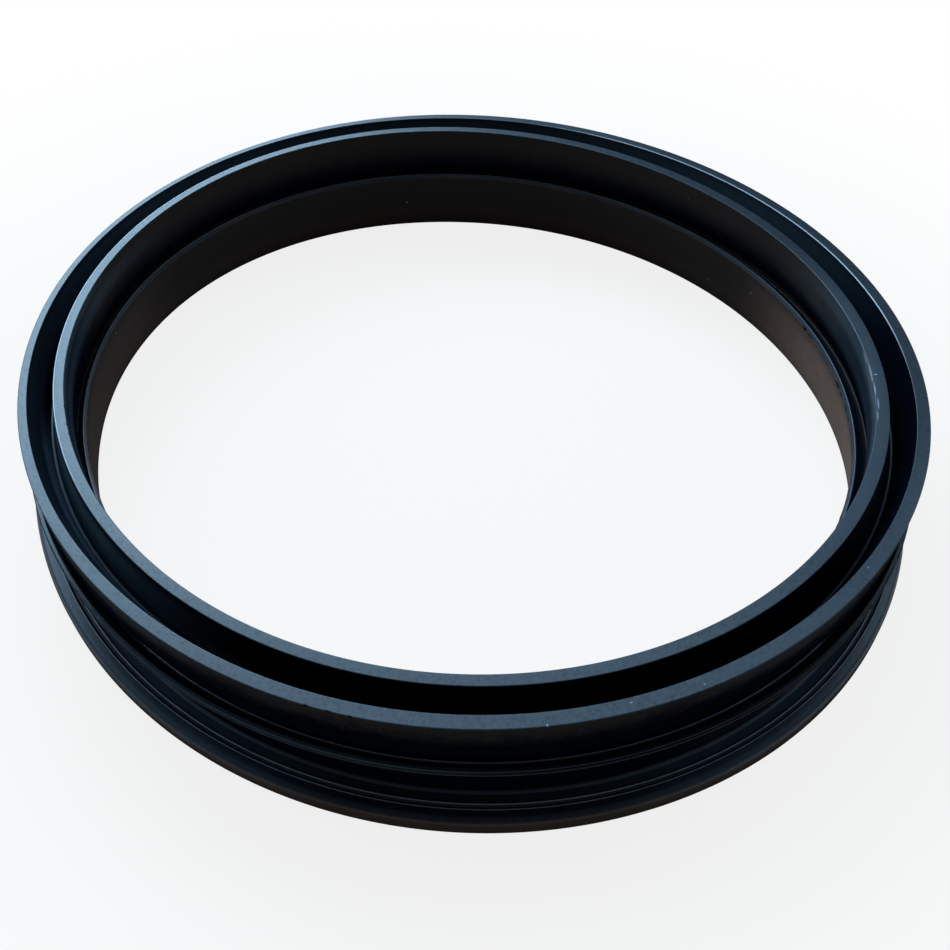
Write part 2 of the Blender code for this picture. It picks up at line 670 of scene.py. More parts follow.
    def rounded(self, before: Corner, corner: Corner, after: Corner) -> list[Vector]:
        """Replaces a corner by an arc tangent to both of its sides.

        Args:
            before: The corner before it.
            corner: The corner to round.
            after: The corner after it.

        Returns:
            The arc's points, or the corner itself where it has no radius.
        """
        middle = Vector((corner.offset, corner.height))
        if corner.radius == 0.0:
            return [middle]
        way_in = Vector((before.offset, before.height)) - middle
        way_out = Vector((after.offset, after.height)) - middle
        room = self.most_of_a_side * min(way_in.length, way_out.length)
        half = way_in.angle(way_out) / 2
        tangent = min(corner.radius / math.tan(half), room)
        radius = tangent * math.tan(half)
        bisector = (way_in.normalized() + way_out.normalized()).normalized()
        centre = middle + bisector * math.hypot(radius, tangent)
        start = middle + way_in.normalized() * tangent - centre
        turn = math.copysign(math.pi - 2 * half, -way_in.cross(way_out))
        steps = self.arc_steps
        return [centre + Matrix.Rotation(turn * i / steps, 2) @ start for i in range(steps + 1)]

    def straight(self, start: Vector, end: Vector) -> list[Vector]:
        """Points between two ends, close to each end and no further apart than the longest side.

        Args:
            start: One end.
            end: The other end.

        Returns:
            The points between them, which hold the flat's shading up to its edges.
        """
        run = end - start
        if run.length < 4 * self.support:
            return []
        near = run.normalized() * self.support
        first, last = start + near, end - near
        pieces = math.ceil((last - first).length / self.longest_side)
        return [first.lerp(last, i / pieces) for i in range(pieces + 1)]

    def outline(self) -> list[tuple[float, float]]:
        """Rounds every corner of the section and joins the arcs.

        Returns:
            The closed outline, as offsets from the groove's circle and heights.
        """
        corners = self.outer_side() + self.inner_side() + self.groove()
        arcs = []
        for i, corner in enumerate(corners):
            arcs.append(self.rounded(corners[i - 1], corner, corners[(i + 1) % len(corners)]))
        points: list[Vector] = []
        for i, arc in enumerate(arcs):
            points += arc + self.straight(arc[-1], arcs[(i + 1) % len(arcs)][0])
        return [(point.x, point.y) for point in points]


@dataclass(frozen=True)
class Wave:
    """A wave round the ring: how many lobes it has, how high they are and where one of them lies."""

    lobes: int
    reach: float
    crest_deg: float


@dataclass(frozen=True)
class Lie:
    """How far the soft ring lies from a true circle, as outward offsets. No lobes give a plain offset."""

    whole: tuple[Wave, ...] = (Wave(2, 0.17 * MM, -51.5), Wave(3, 0.31 * MM, 3.0), Wave(4, 0.09 * MM, -4.5))
    foot: tuple[Wave, ...] = (
        Wave(1, 0.11 * MM, 10.5),
        Wave(2, 0.89 * MM, -38.0),
        Wave(3, 0.28 * MM, 45.0),
        Wave(4, 0.19 * MM, -37.0),
    )
    flange_trim: tuple[Wave, ...] = (Wave(0, -0.25 * MM, 0.0), Wave(1, 0.25 * MM, -124.0))
    inner_foot: tuple[Wave, ...] = (Wave(0, -0.45 * MM, 0.0), Wave(1, 0.42 * MM, -10.0))
    inner_barb: tuple[Wave, ...] = (Wave(0, 0.08 * MM, 0.0), Wave(1, 0.45 * MM, 175.0))
    inner_lip: tuple[Wave, ...] = (Wave(1, 0.31 * MM, 178.0), Wave(2, 0.27 * MM, -51.5))
    inner_trim: tuple[Wave, ...] = (Wave(1, 0.30 * MM, -168.0), Wave(2, 0.09 * MM, -63.0))
    outer_trim: tuple[Wave, ...] = (
        Wave(0, -0.08 * MM, 0.0),
        Wave(1, 0.45 * MM, -14.0),
        Wave(2, 0.18 * MM, 64.0),
    )
    clearance: float = 0.03 * MM

    def swell(self, recipe: Recipe, label: str, waves: tuple[Wave, ...], angle: Number) -> Number:
        """Adds up waves round the ring.

        Args:
            recipe: The tree to build in.
            label: What the waves shape, for the names of the inputs.
            waves: The waves.
            angle: The angle round the ring.

        Returns:
            Their sum at that angle.
        """
        terms = []
        for wave in waves:
            reach = recipe.number(f"{label}, {wave.lobes} lobes, reach", wave.reach)
            crest = recipe.number(f"{label}, {wave.lobes} lobes, crest", math.radians(wave.crest_deg))
            terms.append(reach * ((angle - crest) * float(wave.lobes)).cosine())
        return sum(terms[1:], terms[0])

    def lay(self, recipe: Recipe, geometry: Socket, section: Section, circle: Number) -> Socket:
        """Pushes a true ring into the shape in which it lies, inside the solid's box.

        Args:
            recipe: The tree to build in.
            geometry: The true ring.
            section: The ring's section.
            circle: Radius of the groove's circle.

        Returns:
            The ring as it lies.
        """
        x, y, height = recipe.parts(recipe.place())
        radius = recipe.length(x, y)
        angle = recipe.maths("ARCTAN2", y, x)
        offset = radius - circle
        lips = height.ramp(section.barb_top_height, section.height)
        outer_trim = offset.ramp(section.groove_half, section.lip_reach)
        inner_lip = 1.0 - offset.ramp(-section.groove_half, section.groove_half)
        inner_trim = 1.0 - offset.ramp(-section.lip_reach, -section.groove_half)
        rim = offset.ramp(section.notch_start, section.flange_reach)
        rim = rim * (1.0 - height.ramp(section.flange_crown_height, section.barb_top_height))
        inner_foot = 1.0 - offset.ramp(-section.foot_half, section.foot_half)
        inner_foot = inner_foot * (1.0 - height.ramp(0.0, section.barb_top_height))
        inner_barb = 1.0 - offset.ramp(-section.inner_barb_reach, -section.neck_half)
        inner_barb = inner_barb * height.ramp(section.flange_crown_height, section.barb_top_height)
        inner_barb = inner_barb * (1.0 - height.ramp(section.barb_top_height, section.shoulder_height))
        shares = (
            ("Foot", self.foot, 1.0 - height / section.height),
            ("Flange trim", self.flange_trim, rim),
            ("Inner foot", self.inner_foot, inner_foot),
            ("Inner barb", self.inner_barb, inner_barb),
            ("Outer trim", self.outer_trim, lips * outer_trim),
            ("Inner lip", self.inner_lip, lips * inner_lip),
            ("Inner trim", self.inner_trim, lips * inner_trim),
        )
        push = self.swell(recipe, "Whole", self.whole, angle)
        for label, waves, share in shares:
            push = push + share * self.swell(recipe, label, waves, angle)
        widest = abs(x).at_least(abs(y)).at_least(radius * 0.5)
        room = (circle + section.flange_reach - self.clearance) / widest - 1.0
        stretch = (push / radius).at_most(room)
        return recipe.move(geometry, recipe.vector(x * stretch, y * stretch, (-height).at_least(0.0)))


@dataclass(frozen=True)
class Spot:
    """Where a shaded point lies on the true ring."""

    offset: Number
    height: Number
    angle: Number
    circle: float

    def cover(self, marks: "tuple[Trace | Scar, ...]") -> Number:
        """Adds up what several marks cover at the point."""
        return sum((mark.mask(self) for mark in marks[1:]), marks[0].mask(self))


@dataclass(frozen=True)
class Trace:
    """A line or soft patch round the ring: dust in a root, a painted highlight on an edge, painted light or
    shade on a stretch, or a painted reflection.
    """

    offset: float
    height: float
    reach: float
    strength: float
    middle_deg: float = 0.0
    spread_deg: float = 180.0

    def mask(self, spot: Spot) -> Number:
        """Finds where the line or patch is.

        Args:
            spot: The point on the true ring.

        Returns:
            Its strength on the line and 0 away from it.
        """
        distance = spot.offset.board.length(spot.offset - self.offset, spot.height - self.height)
        line = (1.0 - distance.ramp(self.reach * TRACE_CORE, self.reach)) * self.strength
        if self.spread_deg < 180.0:
            end = math.cos(math.radians(self.spread_deg))
            nearness = (spot.angle - math.radians(self.middle_deg)).cosine()
            line = line * nearness.ramp(end, end + TRACE_FADE * (1.0 - end))
        return line


@dataclass(frozen=True)
class Scar:
    """A small mark at one place on the ring: painted shade in a nick or crease, a painted highlight on a
    torn streak, or a speck.
    """

    angle_deg: float
    offset: float
    height: float
    along: float
    across: float
    strength: float

    def mask(self, spot: Spot) -> Number:
        """Finds where the mark is.

        Args:
            spot: The point on the true ring.

        Returns:
            Its strength inside it and 0 outside.
        """
        run = (spot.angle - math.radians(self.angle_deg)) * ((spot.circle + self.offset) / self.along)
        out = (spot.offset - self.offset) * (1.0 / self.across)
        rise = (spot.height - self.height) * (1.0 / self.across)
        reach = (run * run + out * out + rise * rise) ** 0.5
        return (1.0 - reach.ramp(SCAR_CORE, 1.0)) * self.strength


@dataclass(frozen=True)
class Patterns:
    """The noise on the rubber, each pattern centred on 0, from the broadest to the finest."""

    clouds: Number
    mottle: Number
    streaks: Number
    grain: Number

    def vary(self, **amounts: float) -> Number:
        """Adds up the patterns.

        Args:
            amounts: How much each pattern counts, by its name.

        Returns:
            The sum, about 0 in the mean.
        """
        terms = [getattr(self, name) * amount for name, amount in amounts.items()]
        return sum(terms[1:], terms[0])


@dataclass(frozen=True)
class Wear:
    """The marks on this one ring: painted light, shade and reflections in places, dust and highlight lines,
    specks, and painted shade in nicks.
    """

    section: Section

    @property
    def outer_lip_middle(self) -> float:
        """Offset of the middle of the outer lip's top."""
        return self.section.groove_half + self.section.lip_thickness / 2

    def row(self, offset: float, height: float, *marks: ScarSize) -> tuple[Scar, ...]:
        """Puts scars at one edge.

        Args:
            offset: The edge's offset from the groove's circle.
            height: The edge's height.
            marks: Each scar's angle in degrees, reach along and across the edge in mm, and strength.

        Returns:
            The scars.
        """
        return tuple(Scar(at, offset, height, run * MM, out * MM, share) for at, run, out, share in marks)

    def stem_warm_light(self) -> tuple[Trace, ...]:
        """Lists where painted warm light makes the inner stem lighter and browner, most on the right and a
        little all round at its foot.

        Returns:
            The patches.
        """
        neck, rise = -self.section.neck_half, self.section.shoulder_height / 3
        return (
            Trace(neck, rise, 9.0 * MM, 0.85, -8.0, 46.4),
            Trace(neck, rise, 9.0 * MM, 0.28, -172.0, 36.6),
            Trace(-self.section.foot_half, 0.0, 7.0 * MM, 0.12),
        )

    def rim_warm_light(self) -> Trace:
        """The painted warm light on a stretch of the flange's rim, at the front."""
        return Trace(self.section.flange_reach, 0.9 * MM, 2.2 * MM, 0.5, -93.0, 75.0)

    def shaded_lip_stretch(self) -> Trace:
        """The stretch on the right where the painted sky reflection on the lips' tops is held back, as
        painted shade.
        """
        return Trace(self.section.groove_half, self.section.height, 9.0 * MM, 0.6, 18.0, 54.9)

    def flange_shade(self) -> Trace:
        """The dull band beside the notch on top of the flange."""
        offset, height = self.section.notch_end + 0.42 * MM, self.section.flange_crown_height - 0.1 * MM
        return Trace(offset, height, 0.75 * MM, 0.85, -90.0, 58.6)

    def shaded_to_top(self) -> tuple[Trace, ...]:
        """The stretches of the inner lip's wall where the painted dark blue shade reaches up to the top."""
        place = -self.section.lip_reach, self.section.shoulder_height, 8.0 * MM
        return Trace(*place, 1.2, -158.0, 29.0), Trace(*place, 1.0, -14.0, 32.0)

    def painted_sheens(self) -> tuple[Trace, ...]:
        """Lists where painted blue-grey reflections lie.

        Returns:
            The patches.
        """
        section = self.section
        half, top, lip = section.groove_half, section.height, section.lip_reach
        crown = section.flange_crown_height
        flange = section.flange_reach, crown, 2.2 * MM
        trough = section.foot_half + section.trough_width / 2, crown - 0.6 * MM, 1.2 * MM
        land = section.outer_barb_reach - section.outer_barb_chamfer_width - section.outer_barb_land / 2
        return (
            Trace(-0.8 * half, top - 2.6 * MM, 2.8 * MM, 0.42, -161.0, 48.0),
            Trace(0.8 * half, top - 1.2 * MM, 1.8 * MM, 0.06, -144.0, 42.0),
            Trace(0.3 * half, top - 4.6 * MM, 1.8 * MM, 0.3, -136.0, 30.0),
            Trace(0.5 * half, top - 1.7 * MM, 2.6 * MM, 0.26, 100.0, 100.0),
            Trace(*trough, 0.15),
            Trace(*trough, 0.25, -150.0, 60.0),
            Trace(*trough, 0.25, -30.0, 60.0),
            Trace(land, section.barb_top_height, 0.7 * MM, 0.22, -128.0, 51.2),
            Trace(*flange, 0.26, -144.0, 43.9),
            Trace(*flange, 0.22, -33.0, 46.4),
            Trace(-lip, top - 0.6 * MM, 2.4 * MM, 0.14, -11.0, 36.0),
            Trace(-lip, top - 0.2 * MM, 1.4 * MM, 0.2, -170.0, 22.0),
            Trace(-lip, top - 3.2 * MM, 4.8 * MM, 0.075, -7.0, 38.0),
            Trace(lip, top - 0.6 * MM, 2.0 * MM, 0.07, -140.0, 29.3),
            Trace(lip, top - 0.6 * MM, 2.0 * MM, 0.07, -40.0, 29.3),
            Trace(section.neck_half + 1.2 * MM, 7.0 * MM, 4.5 * MM, 0.07, -38.0, 32.0),
            Trace(-section.inner_barb_reach, section.barb_top_height, 0.5 * MM, 0.14, 40.0, 43.9),
        )

    def lines(self) -> tuple[Trace, ...]:
        """Lists the thin light lines: dust in the roots and painted highlights on the edges.

        Returns:
            The lines.
        """
        section = self.section
        barb_top, crown = section.barb_top_height, section.flange_crown_height
        tip = section.outer_barb_reach, barb_top - section.outer_barb_chamfer_height
        inner_edge = -section.inner_barb_reach + section.inner_barb_chamfer_width
        chamfer_middle = barb_top - section.inner_barb_chamfer_height / 2
        chamfer = (inner_edge - section.inner_barb_reach) / 2, chamfer_middle
        return (
            Trace(*section.outer_gutter_floor(), 0.16 * MM, 0.6),
            Trace(*section.outer_barb_edge(), 0.13 * MM, 0.05),
            Trace(*tip, 0.13 * MM, 0.035),
            Trace(*tip, 0.4 * MM, 0.012),
            Trace(*section.trough_root(), 0.34 * MM, 0.07),
            Trace(section.notch_start, crown - section.notch_inner_drop, 0.13 * MM, 0.65),
            Trace(section.notch_end, crown, 0.13 * MM, 0.5),
            Trace(*section.groove_root(), 0.16 * MM, 0.08),
            Trace(inner_edge, barb_top, 0.1 * MM, 0.13),
            Trace(*chamfer, 0.5 * MM, 0.055),
            Trace(section.groove_half, section.height, 0.15 * MM, 1.2, 40.0, 46.0),
            Trace(-section.groove_half, section.height, 0.17 * MM, 1.6, 172.0, 54.0),
        )

    def glints_and_specks(self) -> tuple[Scar, ...]:
        """Lists the painted highlights on the torn streak at the inner lip's edge and the shred beside it,
        and specks of dust.

        Returns:
            The scars.
        """
        top, edge, middle = self.section.height, -self.section.lip_reach, self.outer_lip_middle
        return (
            *self.row(edge, top - 0.5 * MM, (-7.0, 9.0, 1.0, 0.03)),
            *self.row(edge, top - 0.3 * MM, (-1.5, 1.8, 0.35, 0.08)),
            *self.row(edge, top - 0.1 * MM, (-5.0, 2.4, 0.26, 0.2)),
            *self.row(edge + 0.15 * MM, top, (-8.5, 1.6, 0.13, 0.35)),
            *self.row(edge + 0.35 * MM, top, (-11.5, 1.5, 0.12, 0.4)),
            *self.row(edge + 0.25 * MM, top, (-14.0, 1.3, 0.12, 0.3)),
            *self.row(edge + 0.55 * MM, top, (-5.3, 0.1, 0.3, 0.7)),
            *self.row(middle + 0.65 * MM, top, (-81.5, 0.1, 0.22, 0.45)),
            *self.row(middle - 0.25 * MM, top, (-73.0, 0.22, 0.09, 0.4), (-40.1, 0.15, 0.12, 0.4)),
            *self.row(middle + 0.2 * MM, top, (-65.3, 0.12, 0.14, 0.35)),
            *self.row(-2.44 * MM, 3.4 * MM, (42.2, 0.14, 0.17, 0.3)),
            *self.row(-3.28 * MM, 7.0 * MM, (32.0, 0.16, 0.17, 0.35)),
        )

    def shaded_nicks(self) -> tuple[Scar, ...]:
        """Lists painted shade in nicks at the inner lip and the barb, in creases across the outer lip, and
        in gaps in its flash.

        Returns:
            The scars.
        """
        section = self.section
        top, middle = section.height, self.outer_lip_middle
        barb = -section.inner_barb_reach
        below_barb = section.barb_top_height - section.inner_barb_chamfer_height
        lip_nicks = (
            (-159.6, 0.3, 0.22, 0.9),
            (-156.0, 0.35, 0.2, 0.9),
            (-154.2, 0.3, 0.24, 0.9),
            (-152.9, 0.25, 0.18, 0.8),
        )
        high_nicks = (
            (16.3, 0.8, 0.34, 0.95),
            (14.4, 0.9, 0.2, 0.8),
            (2.4, 1.2, 0.3, 0.9),
            (-3.0, 1.1, 0.25, 0.85),
        )
        low_nicks = (0.2, 1.0, 0.3, 0.9), (-5.4, 0.8, 0.3, 0.9)
        flash_gaps = (-104.1, 0.4, 0.3, 0.8), (-101.9, 0.5, 0.26, 0.7), (-99.8, 0.3, 0.24, 0.7)
        return (
            *self.row(-section.lip_reach, top, *lip_nicks),
            *self.row(barb, below_barb, *high_nicks),
            *self.row(barb, below_barb - 0.1 * MM, *low_nicks),
            *self.row(middle - 0.3 * MM, top, (-167.6, 0.1, 0.7, 0.4)),
            *self.row(middle + 0.2 * MM, top, (-166.1, 0.09, 0.6, 0.35)),
            *self.row(middle - 0.1 * MM, top, (-159.5, 0.1, 0.6, 0.35)),
            *self.row(section.lip_reach, top, *flash_gaps),
        )


@dataclass(frozen=True)
class Skin:
    """The ring's surface as its shader sees it."""

    board: NodeBoard
    wear: Wear
    rest: Socket
    spot: Spot
    noise: Patterns
    up: Number


@dataclass(frozen=True)
class BlackRubber:
    """Satin black rubber with painted light: a painted brown reflection where it is bare, painted dark blue
    shade in its recesses, and a painted cool sky reflection on its lips.

    Its fades run down from the top of the lips or the barbs, in from the flange's rim, and out past the
    groove's mouth.
    """

    # The rubber's dark colours, tinted brown as a painted reflection of a warm surface
    warm: Colour = (0.04, 0.0305, 0.0285, 1.0)
    bare: Colour = (0.04, 0.03, 0.0275, 1.0)
    # Painted shade: a dark blue for the recesses, the nicks and the creases
    painted_shade: Colour = (0.0024, 0.0034, 0.0072, 1.0)
    # Painted shade: a darker blue in the groove
    groove: Colour = (0.0013, 0.0026, 0.0052, 1.0)
    # Painted reflection: blue sky on the faces that look up
    shelf: Colour = (0.001, 0.006, 0.0145, 1.0)
    # Speckled bloom with a painted blue sky reflection on the lips' tops
    bloom_and_sky_sheen: Colour = (0.0245, 0.0405, 0.056, 1.0)
    # Painted light: warm light on the inner stem and the flange's rim
    warm_light: Colour = (0.2, 0.126, 0.1, 1.0)
    # Painted reflection: blue-grey patches
    painted_sheen: Colour = (0.165, 0.235, 0.295, 1.0)
    # Dust in the roots, and painted highlights on the edges
    dust_and_glint: Colour = (0.62, 0.68, 0.78, 1.0)
    lint: Colour = (0.5, 0.52, 0.5, 1.0)
    lip_sheen_share: float = 0.77
    wall_roughness: float = 0.75
    lip_roughness: float = 0.45
    dullest: float = 0.9
    line_coat: float = 7.0
    rubbed_coat: float = 0.5
    coat_roughness: float = 0.36
    specular: float = 0.0
    clouds: Noise = Noise(55.0, 4.0, 0.6)
    mottle: Noise = Noise(420.0, 3.0, 0.6)
    streaks: Noise = Noise(1.0, 3.0, 0.6)
    grain: Noise = Noise(2600.0, 2.0, 0.5)
    streak_scale: float = 2400.0
    streak_run: float = 45.0
    grain_depth: float = 0.02 * MM
    grain_strength: float = 0.35
    speck_scale: float = 210.0
    speck_least: float = 0.012
    speck_spread: float = 0.03
    speck_fray: float = 0.03
    speck_core: float = 0.7
    speck_picks: Range = (0.86, 0.87)
    upward: Range = (0.2, 0.92)
    side_blend: float = 1.0 * MM
    lip_sheen_fade: Fade = Fade(0.04 * MM, 0.14 * MM)
    warm_light_fade: Fade = Fade(1.2 * MM, 0.6 * MM)
    stem_fade: Fade = Fade(0.6 * MM, 0.0)
    rim_fade: Fade = Fade(0.1 * MM, 0.9 * MM)
    groove_fade: Fade = Fade(-0.05 * MM, 0.1 * MM)
    inner_shade_fade: Fade = Fade(1.5 * MM, 7.6 * MM)
    outer_shade_fade: Fade = Fade(-0.3 * MM, 4.4 * MM)

    def material(self, section: Section, circle: float) -> bpy.types.Material:
        """Builds the finish.

        Args:
            section: The ring's section, for the places of its parts.
            circle: Radius of the groove's circle.

        Returns:
            The material.
        """
        material = bpy.data.materials.new(RUBBER_SLOT)
        material.use_nodes = True
        board = NodeBoard(material.node_tree)
        inputs = board.tree.nodes["Principled BSDF"].inputs
        skin = self.skin(board, Wear(section), circle)
        wear, spot, noise, up = skin.wear, skin.spot, skin.noise, skin.up
        specks = self.specks(skin)
        # Dust lines, painted highlights on the edges and the torn streak, and specks of dust
        lines = spot.cover(wear.lines()) * (1.0 + noise.vary(mottle=0.9)) + spot.cover(wear.glints_and_specks())
        # Painted shade in the nicks, the creases and the gaps in the flash
        nick_shade = spot.cover(wear.shaded_nicks()).at_most(1.0)
        tint = board.blend(lines.at_most(1.0), self.clean_tint(skin), self.dust_and_glint)
        tint = board.blend(nick_shade, tint, self.painted_shade)
        board.feed(inputs["Base Color"], board.blend(specks, tint, self.lint))
        rough = self.wall_roughness + (self.lip_roughness - self.wall_roughness) * up
        rough = rough + noise.vary(clouds=0.16, streaks=0.1)
        board.feed(inputs["Roughness"], rough.at_most(self.dullest))
        coat = up * (1.0 + noise.vary(grain=0.9)) * (1.0 - wear.flange_shade().mask(spot))
        coat = coat.at_least((lines * self.line_coat).at_most(1.0) * self.rubbed_coat)
        coat = coat * (1.0 - specks) * (1.0 - nick_shade)
        board.feed(inputs["Coat Weight"], coat.at_most(1.0))
        relief = noise.vary(grain=0.6, streaks=0.4)
        bump = {"Strength": self.grain_strength, "Distance": self.grain_depth, "Height": relief}
        board.feed(inputs["Normal"], board.node("ShaderNodeBump", inputs=bump).outputs["Normal"])
        inputs["Metallic"].default_value = 0.0
        inputs["Specular IOR Level"].default_value = self.specular
        inputs["Coat Roughness"].default_value = self.coat_roughness
        material.diffuse_color = self.warm
        return material

    def skin(self, board: NodeBoard, wear: Wear, circle: float) -> Skin:
        """Reads where a point lies on the true ring, and makes the noise patterns there.

        Args:
            board: The tree to build in.
            wear: The marks on the ring.
            circle: Radius of the groove's circle.

        Returns:
            The surface.
        """
        rest = board.node("ShaderNodeAttribute", {"attribute_name": REST_PLACE}).outputs["Vector"]
        facing = board.parts(board.node("ShaderNodeTexCoord").outputs["Normal"])[2]
        x, y, height = board.parts(rest)
        spot = Spot(board.length(x, y) - circle, height, board.maths("ARCTAN2", y, x), circle)
        drawn = board.vector(
            x * self.streak_run + height * self.streak_scale,
            y * self.streak_run,
            spot.offset * self.streak_scale,
        )
        noise = Patterns(
            clouds=board.noise(rest, self.clouds) - 0.5,
            mottle=board.noise(rest, self.mottle) - 0.5,
            streaks=board.noise(drawn, self.streaks) - 0.5,
            grain=board.noise(rest, self.grain) - 0.5,
        )
        return Skin(board, wear, rest, spot, noise, facing.ramp(*self.upward))

    def clean_tint(self, skin: Skin) -> Socket:
        """Colours the rubber with its painted shade, painted warm light, painted reflections, and the
        speckled bloom and painted sky reflection on its lips.

        Args:
            skin: The ring's surface.

        Returns:
            The colour's socket.
        """
        board, wear, spot, noise = skin.board, skin.wear, skin.spot, skin.noise
        lip_top, barb_top = wear.section.height, wear.section.barb_top_height
        inner_side = 1.0 - spot.offset.ramp(-self.side_blend / 2, self.side_blend / 2)
        ragged = spot.height + noise.vary(clouds=1.4 * MM, mottle=1.2 * MM)
        ragged = ragged + noise.vary(mottle=2.2 * MM, grain=2.4 * MM) * (1.0 - inner_side)
        tint = self.walls(skin, replace(spot, height=ragged))
        low = 1.0 - spot.height.ramp(barb_top - self.warm_light_fade.whole, barb_top - self.warm_light_fade.gone)
        patchy = 1.0 + noise.vary(mottle=0.5, clouds=0.6)
        # Painted warm light on the inner stem and the rim
        warm_light_share = spot.cover(wear.stem_warm_light()) * inner_side + wear.rim_warm_light().mask(spot)
        tint = board.blend(warm_light_share * patchy * low, tint, self.warm_light)
        # Painted sky reflection on the faces that look up
        tint = board.blend(skin.up, tint, self.shelf)
        # Painted blue-grey reflections
        tint = board.blend(spot.cover(wear.painted_sheens()) * patchy, tint, self.painted_sheen)
        # Speckled bloom and painted sky reflection on the lips' tops, held back on the right as painted
        # shade
        at_lips = spot.height.ramp(lip_top - self.lip_sheen_fade.gone, lip_top - self.lip_sheen_fade.whole)
        speckle = self.lip_sheen_share + noise.vary(clouds=0.7, mottle=0.8, grain=1.3)
        bloom_and_sky_sheen = skin.up * at_lips * speckle * (1.0 - wear.shaded_lip_stretch().mask(spot))
        return board.blend(bloom_and_sky_sheen.at_most(1.0), tint, self.bloom_and_sky_sheen)

    def walls(self, skin: Skin, spot: Spot) -> Socket:
        """Colours the walls: bare at the inner stem and the rim, painted dark blue shade in the recesses
        and the groove, else warm.

        Args:
            skin: The ring's surface.
            spot: The point on the true ring, with a ragged height.

        Returns:
            The colour's socket.
        """
        board, section, offset, height = skin.board, skin.wear.section, spot.offset, spot.height
        lip_top, barb_top = section.height, section.barb_top_height
        reach, mouth = section.flange_reach, section.groove_half
        inner, outer = self.inner_shade_fade, self.outer_shade_fade
        outside = offset.ramp(0.0, self.side_blend)
        rim = offset.ramp(reach - self.rim_fade.gone, reach - self.rim_fade.whole)
        below_barbs = 1.0 - height.ramp(barb_top - self.stem_fade.whole, barb_top - self.stem_fade.gone)
        stem = below_barbs * (1.0 - outside)
        # Painted shade: dark blue from a little below the lips' tops down into the recesses
        fade_end = lip_top - inner.gone + outside * (inner.gone - outer.gone)
        fade_start = lip_top - inner.whole + outside * (inner.whole - outer.whole)
        unshaded = height.ramp(fade_end, fade_start) * (1.0 - spot.cover(skin.wear.shaded_to_top()).at_most(1.0))
        # Painted shade in the groove
        in_groove = 1.0 - abs(offset).ramp(mouth + self.groove_fade.whole, mouth + self.groove_fade.gone)
        in_groove = in_groove * height.ramp(barb_top, section.shoulder_height)
        walls = board.blend(unshaded, self.painted_shade, self.warm)
        walls = board.blend(stem.at_least(rim), walls, self.bare)
        return board.blend(in_groove, walls, self.groove)

    def specks(self, skin: Skin) -> Number:
        """Scatters specks of lint, frayed by the grain.

        Args:
            skin: The ring's surface.

        Returns:
            1 on a speck and 0 elsewhere.
        """
        cells = skin.board.node(
            "ShaderNodeTexVoronoi",
            {"feature": "F1"},
            {"Vector": skin.rest, "Scale": self.speck_scale, "Randomness": 1.0},
        )
        near = Number(skin.board, cells.outputs["Distance"]) + skin.noise.vary(grain=self.speck_fray)
        pick, size, _ = skin.board.parts(cells.outputs["Color"])
        edge = self.speck_least + size * self.speck_spread
        return (1.0 - near.ramp(edge * self.speck_core, edge)) * pick.ramp(*self.speck_picks)


@dataclass
class TurnedRing:
    """The moulded ring, one closed body of rubber."""

    section: Section
    lie: Lie
    rim_radius: float
    facets: int = 500
    sharp_angle_deg: float = 32.0

    @property
    def circle(self) -> float:
        """Radius of the groove's circle."""
        return self.rim_radius - self.section.flange_reach

    def build(self, rubber: bpy.types.Material) -> bpy.types.Object:
        """Turns the section and lays the ring down.

        Args:
            rubber: The ring's finish.

        Returns:
            The finished piece.
        """
        recipe = Recipe("turned_ring")
        circle = recipe.number("Groove circle radius", self.circle)
        facets = recipe.number("Facets around", self.facets)
        turned = recipe.turn(recipe.outline(), circle, facets)
        kept = recipe.remember(turned, REST_PLACE)
        laid = self.lie.lay(recipe, kept, self.section, circle)
        recipe.finish(laid, rubber)
        base = polyline_mesh("section", self.section.outline())
        piece = recipe.bake("ring_body", base, self.sharp_angle_deg)
        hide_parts(RING_NODE)
        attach(piece, BODY)
        return piece


class MouldLine(Enum):
    """The edges where the mould's parts met and left flash."""

    OUTER_BARB = "outer_barb"
    INNER_BARB = "inner_barb"


